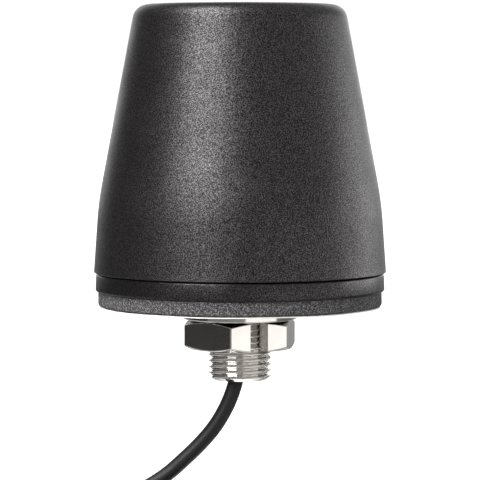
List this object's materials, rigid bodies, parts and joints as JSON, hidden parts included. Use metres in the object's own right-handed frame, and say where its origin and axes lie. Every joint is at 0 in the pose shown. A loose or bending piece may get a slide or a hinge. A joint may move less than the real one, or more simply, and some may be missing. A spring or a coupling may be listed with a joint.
{
  "type": "gnss receiver",
  "caption": "Through-hole GNSS receiver: tall conical radome on a foam-sealed base with a hollow threaded stud, washer, slotted nut and a thin data cable.",
  "frame": {"origin": "centre of the hole in the panel that holds the receiver, on the stud axis at the underside of the foam pad (its sticky face, under the release film)", "axes": "+Z along the stud axis, up towards the radome's top; -Y is the front, and the nut's cable slot faces front right"},
  "size_m": [0.0845, 0.0945, 0.1387],
  "materials": {
    "radome_black": "black moulded plastic, fine spark texture",
    "base_black": "black moulded plastic, smoother than the radome",
    "foam_grey": "grey speckled closed-cell foam",
    "liner_white": "white release film",
    "nickel_plate": "nickel-plated brass, polished",
    "brass": "bare brass",
    "gold_plate": "gold-plated contact",
    "zinc_steel": "zinc-plated screw",
    "tinned_sheet": "tinned steel sheet",
    "aluminium": "plain aluminium",
    "black_rubber": "black rubber seal",
    "cable_jacket": "black cable jacket, satin",
    "plug_overmould": "black overmould, matt",
    "board_green": "green circuit board",
    "chip_black": "black moulded component",
    "ceramic": "beige antenna ceramic, opaque",
    "silver_paint": "fired silver electrode",
    "white_nylon": "white nylon connector",
    "strap_black": "black hook-and-loop strap",
    "wire_red": "red wire insulation",
    "wire_black": "black wire insulation",
    "wire_yellow": "yellow wire insulation",
    "wire_green": "green wire insulation"
  },
  "bodies": {
    "root": {"amplifier_shield": "tinned_sheet", "antenna_board": "board_green", "antenna_screw_1": "zinc_steel", "antenna_screw_2": "zinc_steel", "antenna_screw_3": "zinc_steel", "antenna_spacer_1": "brass", "antenna_spacer_2": "brass", "antenna_spacer_3": "brass", "base_housing": "base_black", "board_header": "white_nylon", "board_plug": "white_nylon", "board_standoff_1": "brass", "board_standoff_2": "brass", "board_standoff_3": "brass", "bore_bushing": "black_rubber", "cable": "cable_jacket", "cable_coil": "cable_jacket", "cable_ferrule": "nickel_plate", "cable_tail": "cable_jacket", "clamp_plate": "aluminium", "clock_oscillator": "chip_black", "coil_tie": "strap_black", "feed_pin_1": "brass", "feed_pin_2": "brass", "foam_pad": "foam_grey", "housing_screw_1": "zinc_steel", "housing_screw_2": "zinc_steel", "housing_screw_3": "zinc_steel", "housing_screw_4": "zinc_steel", "jumper_coax": "chip_black", "jumper_plug_1": "gold_plate", "jumper_plug_2": "gold_plate", "lead_wire_1": "wire_red", "lead_wire_2": "wire_black", "lead_wire_3": "wire_yellow", "lead_wire_4": "wire_green", "lower_electrode": "silver_paint", "lower_patch": "ceramic", "module_shield": "tinned_sheet", "mounting_stud": "nickel_plate", "pad_liner": "liner_white", "plug_body": "plug_overmould", "plug_insert": "plug_overmould", "plug_pin_1": "gold_plate", "plug_pin_2": "gold_plate", "plug_pin_3": "gold_plate", "plug_pin_4": "gold_plate", "radome_cap": "radome_black", "radome_seal": "black_rubber", "receiver_board": "board_green", "stud_seal": "black_rubber", "supply_capacitor": "aluminium", "supply_inductor": "chip_black", "upper_electrode": "silver_paint", "upper_patch": "ceramic"},
    "washer": {"flat_washer": "nickel_plate"},
    "nut": {"slotted_nut": "nickel_plate"},
    "ring": {"plug_ring": "nickel_plate"}
  },
  "joints": [
    {"name": "washer_slide", "type": "slide", "parent": "root", "child": "washer", "axis": [0, 0, -1], "range_m": [-0.0035, 0.007]},
    {"name": "nut_turn", "type": "hinge", "parent": "washer", "child": "nut", "pos_m": [0, 0, -0.0072], "axis": [0, 0, -1], "range_deg": [-840, 1680]},
    {"name": "ring_spin", "type": "hinge", "parent": "root", "child": "ring", "pos_m": [0.01808, 0.0118, -0.05795], "axis": [0.208, 0.9781, 0], "continuous": true}
  ],
  "couplings": [
    {"joint": "washer_slide", "follows": "nut_turn", "m_per_rad": 0.00023873}
  ]
}
